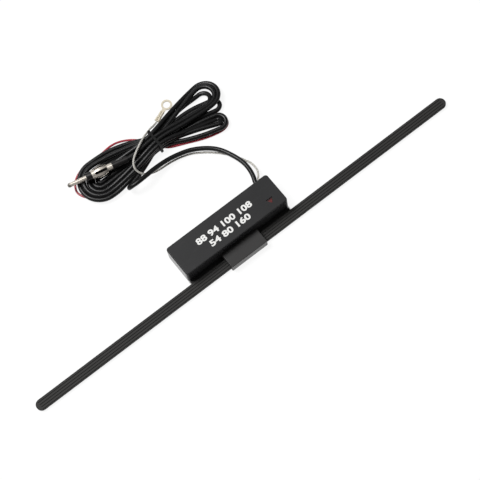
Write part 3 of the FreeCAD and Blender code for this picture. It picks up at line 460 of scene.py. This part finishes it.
# Cord jackets: smooth skin with faint handling marks
def jacketFinish(name, colour, roughness, coat=0.0, gloss=0.5):
    finish, shader, place = startFinish(name, {"IOR": 1.5, "Specular IOR Level": gloss,
                                               "Coat Weight": coat, "Coat Roughness": 0.18})
    marks = cloud(place, 5.0, detail=5.0)
    skin = cloud(place, 0.3, detail=2.0)
    feed(shader, "Base Color", mixColour(marks, shade(colour, 0.8), shade(colour, 1.25)))
    feed(shader, "Roughness", roughness - 0.07 + marks * 0.14)
    feed(shader, "Normal", dent(skin, 0.15, 0.02))
    return finish


# Clear jacket: lets the strands inside show
def clearFinish(name, colour, alpha):
    finish, shader, place = startFinish(name, {"IOR": 1.42, "Alpha": alpha})
    marks = cloud(place, 2.0)
    feed(shader, "Base Color", mixColour(marks, shade(colour, 0.94), colour))
    feed(shader, "Roughness", 0.06 + marks * 0.1)
    return finish


# Metals: plating with faint clouds, stains and turning marks, and a darker tip
def metalFinish(name, colour, roughness, turn=0.0, tarnish=0.0, metallic=1.0, tip=None):
    finish, shader, place = startFinish(name, {"Metallic": metallic})
    lines = cloud(place, 0.12, stretch=(1, 8, 8), turn=turn)
    haze = cloud(place, 3.0, detail=4.0)
    stain = sharpen(cloud(place, 1.6, detail=5.0), 0.52, 0.75)
    base = mixColour(haze, shade(colour, 0.88), shade(colour, 1.06))
    base = mixColour(stain * tarnish, base, shade(colour, 0.5))
    if tip:
        base = mixColour(beyond(place, *tip), base, shade(colour, 0.3))
    feed(shader, "Base Color", base)
    feed(shader, "Roughness", roughness - 0.04 + haze * 0.08 + lines * 0.06)
    feed(shader, "Normal", dent(lines, 0.12, 0.02))
    return finish


# Foam tape: open cells
def foamFinish(name, colour, cellsPerMetre):
    finish, shader, place = startFinish(name)
    spread = place.add("ShaderNodeMapping", None, {"Vector": place, "Scale": (cellsPerMetre,) * 3})
    cells = place.add("ShaderNodeTexVoronoi", {"feature": "F1"}, {"Vector": spread, "Scale": 1.0})
    flow = cloud(place, 6.0)
    feed(shader, "Base Color", mixColour(sharpen(cells, 0.1, 0.6), shade(colour, 0.72), colour))
    feed(shader, "Roughness", 0.85 + flow * 0.1)
    feed(shader, "Normal", dent(cells, 0.5, 0.1))
    return finish


# Board: woven laminate with darker fibres
def boardFinish(name, colour):
    finish, shader, place = startFinish(name)
    warp = cloud(place, 0.5, stretch=(14, 1, 1), detail=2.0)
    weft = cloud(place, 0.5, stretch=(1, 14, 1), detail=2.0)
    weave = warp * 0.5 + weft * 0.5
    feed(shader, "Base Color", mixColour(weave, shade(colour, 0.6), shade(colour, 1.3)))
    feed(shader, "Roughness", 0.4 + weave * 0.2)
    feed(shader, "Normal", dent(weave, 0.3, 0.03))
    return finish


# Bodies of small components: one colour with rings of another along X
def bandFinish(name, colour, ringColour, ringShare, pitch, roughness):
    finish, shader, place = startFinish(name, {"Coat Weight": 0.4})
    turns = place.add("ShaderNodeSeparateXYZ", None, {0: place}, out="X") * (1 / (pitch * mm))
    rings = sharpen(turns.calc("FRACT", turns), 1 - ringShare, 1 - ringShare + 0.02)
    flow = cloud(place, 2.0)
    base = mixColour(flow, shade(colour, 0.85), shade(colour, 1.15))
    feed(shader, "Base Color", mixColour(rings, base, ringColour))
    feed(shader, "Roughness", roughness + flow * 0.15)
    feed(shader, "Normal", dent(flow, 0.2, 0.05))
    return finish


# Windows: dark tinted plastic over a prismatic back, with a band of painted shade past a place along Y,
# where the housing's rim shades it
def windowFinish(name, colour, paintedShadeBand=None):
    finish, shader, place = startFinish(name, {"IOR": 1.49, "Coat Weight": 0.6, "Coat Roughness": 0.08})
    glow = cloud(place, 2.4, detail=2.0)
    facets = cloud(place, 0.5, stretch=(1, 3, 1), detail=1.0)
    base = mixColour(glow, shade(colour, 0.45), shade(colour, 1.7))
    # painted shade: darker past a place along Y
    if paintedShadeBand:
        base = mixColour(beyond(place, *paintedShadeBand), base, shade(colour, 0.15))
    feed(shader, "Base Color", base)
    feed(shader, "Roughness", 0.18 + facets * 0.12)
    feed(shader, "Normal", dent(facets, 0.2, 0.05))
    return finish


# Print: white ink with a little wear
def printFinish(name, colour):
    finish, shader, place = startFinish(name)
    wear = sharpen(cloud(place, 0.35, detail=4.0), 0.62, 0.75)
    flow = cloud(place, 5.0)
    base = mixColour(flow, shade(colour, 0.92), colour)
    feed(shader, "Base Color", mixColour(wear * 0.3, base, shade(colour, 0.45)))
    feed(shader, "Roughness", 0.45 + flow * 0.15)
    return finish


# By the record's slots; places along an axis are in millimetres
plugTurn = math.radians(13)      # brings the plug's axis onto X
finishes = {
    "housing_plastic": mouldedFinish("mattHousing", (0.03, 0.03, 0.031), 0.4, gloss=0.1,
                                     polish=("X", -43.3, -43.7)),
    "clip_plastic": mouldedFinish("mattClip", (0.044, 0.043, 0.043), 0.4, grain=0.3, gloss=0.1,
                                  polish=("Y", -18.2, -18.6)),
    "strip_plastic": extrudedFinish("ribbedStrip", (0.037, 0.036, 0.035), 0.6, gloss=0.12),
    "adhesive_foam": foamFinish("foamTape", (0.72, 0.72, 0.7), cellsPerMetre=2600),
    # the lens gets a band of painted shade along Y, where the housing's rim shades it
    "lens_red": windowFinish("redWindow", (0.105, 0.014, 0.014), paintedShadeBand=("Y", 1.5, 2.1)),
    "board_laminate": boardFinish("boardLaminate", (0.32, 0.2, 0.08)),
    "copper": metalFinish("bareCopper", (0.72, 0.4, 0.24), 0.3, tarnish=0.5),
    "led_red": windowFinish("redLight", (0.5, 0.03, 0.03)),
    "component_black": mouldedFinish("componentBlack", (0.03, 0.03, 0.03), 0.45, grain=0.12),
    "ferrite": mouldedFinish("ferriteCore", (0.06, 0.06, 0.06), 0.7, grain=0.3, depth=0.06, contrast=0.2),
    "capacitor_blue": bandFinish("blueSleeve", (0.02, 0.03, 0.12), (0.5, 0.5, 0.52), ringShare=0.12,
                                 pitch=9.0, roughness=0.3),
    "capacitor_tan": mouldedFinish("dippedTan", (0.45, 0.22, 0.06), 0.4, grain=0.5, depth=0.05,
                                   contrast=0.15),
    "resistor_tan": bandFinish("bandedTan", (0.55, 0.4, 0.24), (0.12, 0.04, 0.02), ringShare=0.35,
                               pitch=1.2, roughness=0.3),
    "screw_steel": metalFinish("screwSteel", (0.55, 0.55, 0.55), 0.32),
    "bush_rubber": mouldedFinish("bushRubber", (0.02, 0.02, 0.02), 0.62, grain=0.4),
    "coax_jacket": jacketFinish("coaxJacket", (0.008, 0.008, 0.0083), 0.36, gloss=0.3),
    "power_jacket": jacketFinish("crimsonJacket", (0.35, 0.017, 0.034), 0.38, coat=0.1),
    "ground_jacket": clearFinish("clearJacket", (0.95, 0.94, 0.91), alpha=0.22),
    "tie_black": mouldedFinish("tieCoat", (0.004, 0.004, 0.004), 0.55, grain=0.3, gloss=0.15),
    "plug_nickel": metalFinish("plugNickel", (0.66, 0.61, 0.54), 0.38, turn=plugTurn, tarnish=0.15,
                               metallic=0.5, tip=("X", -66.0, -66.8)),
    "plug_black": mouldedFinish("plugBlack", (0.012, 0.011, 0.011), 0.36, grain=0.2, gloss=0.4),
    "terminal_plate": metalFinish("terminalPlate", (0.62, 0.56, 0.44), 0.5, tarnish=0.05, metallic=0.15),
}
strandFinish = metalFinish("tinnedStrands", (0.54, 0.52, 0.47), 0.5, tarnish=0.1, metallic=0.25)
numberFinish = printFinish("whitePrint", (0.88, 0.88, 0.86))


def dress(piece, finish):
    piece.data.materials.clear()
    piece.data.materials.append(finish)


for row in frame["record"]["subparts"]:
    dress(nodes[row["node"]], finishes[row["material_slot"]])
dress(coaxCord, finishes["coax_jacket"])
dress(powerCord, finishes["power_jacket"])
dress(groundCord, finishes["ground_jacket"])
dress(groundStrands, strandFinish)
print("finishes set")


# Plain scale numbers printed on the housing's top
numbers = {
    "rows": [
        {"text": "88 94 100 108", "middle": (-1.0, 8.1), "width": 47.0, "height": 4.9},
        {"text": "54 80 160", "middle": (-0.7, 1.4), "width": 34.0, "height": 4.9},
    ],
    "boldness": 0.035,
    "thickness": 0.04,
    "drawnDepth": 0.5,      # before each row is scaled to its size
    "curveSteps": 4,
}


def printNumbers():
    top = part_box("housing_cover")[1][2]
    for count, row in enumerate(numbers["rows"], 1):
        bpy.ops.object.select_all(action="DESELECT")
        bpy.ops.object.text_add()
        text = bpy.context.view_layer.objects.active
        text.name = f"scaleNumbers{count}"
        text.data.body = row["text"]
        text.data.align_x = "CENTER"
        text.data.align_y = "CENTER"
        text.data.offset = numbers["boldness"]
        text.data.extrude = numbers["drawnDepth"]
        text.data.resolution_u = numbers["curveSteps"]
        bpy.ops.object.convert(target="MESH")
        text = bpy.context.view_layer.objects.active
        wanted = (row["width"], row["height"], numbers["thickness"])
        text.scale = [length * mm / drawn for length, drawn in zip(wanted, text.dimensions)]
        text.location = (row["middle"][0] * mm, row["middle"][1] * mm, top)
        bpy.ops.object.transform_apply(location=True, rotation=True, scale=True)
        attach(text, "root")
        dress(text, numberFinish)


printNumbers()
print("numbers printed")


# Floor, world and lamps
studio = {
    "floorSize": 12.0,
    "floorColour": (0.86, 0.86, 0.86),
    "whiteShare": 0.86,      # of plain white in the floor, where it is seen
    "whiteStrength": 1.05,
    # a painted shadow: the floor in the narrow gap between the housing and the strip turns dark, with no
    # plain white
    "gapMiddle": (0.0, -7.4, 0.0),
    "gapHalf": (43.0, 1.5, 1.0),
    "gapBlur": 1.2,
    "paintedShadowColour": (0.05, 0.05, 0.05),
    "worldStrength": 0.06,
    "lamps": [
        {"name": "softbox", "place": (-0.5, 0.75, 1.62), "size": 0.9, "power": 39.0},
        {"name": "fill", "place": (0.9, -0.5, 1.6), "size": 1.2, "power": 1.0},
    ],
}


# One for rays that see the floor, nothing for those that only carry its light
def seenShare(start):
    kinds = ("Camera", "Glossy", "Transmission")
    rays = [start.add("ShaderNodeLightPath", out=f"Is {kind} Ray") for kind in kinds]
    total = rays[0] + rays[1] + rays[2]
    return total.calc("MINIMUM", total, 1.0)


# The share of painted shadow on the floor: one inside the gap, falling to nothing round it
def paintedShadowShare(start):
    middle, half = (tuple(part * mm for part in studio[name]) for name in ("gapMiddle", "gapHalf"))
    place = start.add("ShaderNodeTexCoord", out="Object")
    offset = place.add("ShaderNodeVectorMath", {"operation": "SUBTRACT"}, {0: place, 1: middle})
    apart = offset.add("ShaderNodeVectorMath", {"operation": "ABSOLUTE"}, {0: offset})
    past = apart.add("ShaderNodeVectorMath", {"operation": "SUBTRACT"}, {0: apart, 1: half})
    x, y = (past.add("ShaderNodeSeparateXYZ", None, {0: past}, out=axis) for axis in ("X", "Y"))
    return 1 - sharpen(x.calc("MAXIMUM", x, y), 0.0, studio["gapBlur"] * mm)


def floorFinish():
    finish = bpy.data.materials.new("paleFloor")
    finish.use_nodes = True
    tree = finish.node_tree
    tree.nodes.clear()
    start = Wire(tree)
    matt = start.add("ShaderNodeBsdfDiffuse", None, {"Color": (*studio["floorColour"], 1.0)})
    white = start.add("ShaderNodeEmission", None,
                      {"Color": (1, 1, 1, 1), "Strength": studio["whiteStrength"]})
    # painted shadow: a dark floor colour for the gap between the housing and the strip
    dark = start.add("ShaderNodeBsdfDiffuse", None, {"Color": (*studio["paintedShadowColour"], 1.0)})
    share = seenShare(start) * studio["whiteShare"]
    lit = start.add("ShaderNodeMixShader", None, {0: share, 1: matt, 2: white})
    mixed = start.add("ShaderNodeMixShader", None, {0: paintedShadowShare(start), 1: lit, 2: dark})
    output = tree.nodes.new("ShaderNodeOutputMaterial")
    tree.links.new(mixed.socket, output.inputs["Surface"])
    return finish


def layFloor():
    bpy.ops.object.select_all(action="DESELECT")
    bpy.ops.mesh.primitive_plane_add(size=studio["floorSize"])
    floor = bpy.context.view_layer.objects.active
    floor.name = "floor"
    dress(floor, floorFinish())


def lightStudio():
    world = bpy.data.worlds.new("studio")
    world.use_nodes = True
    bpy.context.scene.world = world
    background = world.node_tree.nodes["Background"]
    background.inputs["Color"].default_value = (1, 1, 1, 1)
    background.inputs["Strength"].default_value = studio["worldStrength"]
    for lamp in studio["lamps"]:
        light = bpy.data.lights.new(lamp["name"], "AREA")
        light.size = lamp["size"]
        light.energy = lamp["power"]
        holder = bpy.data.objects.new(lamp["name"], light)
        bpy.context.scene.collection.objects.link(holder)
        holder.location = lamp["place"]
        holder.rotation_euler = (-Vector(lamp["place"])).to_track_quat("-Z", "Y").to_euler()


layFloor()
lightStudio()
bpy.context.scene.view_settings.view_transform = "Standard"
print("studio lit")

round(cordLength(coaxCord), 3)
round(cordLength(powerCord), 3)
round(cordLength(groundCord), 3)

bpy.context.view_layer.update()
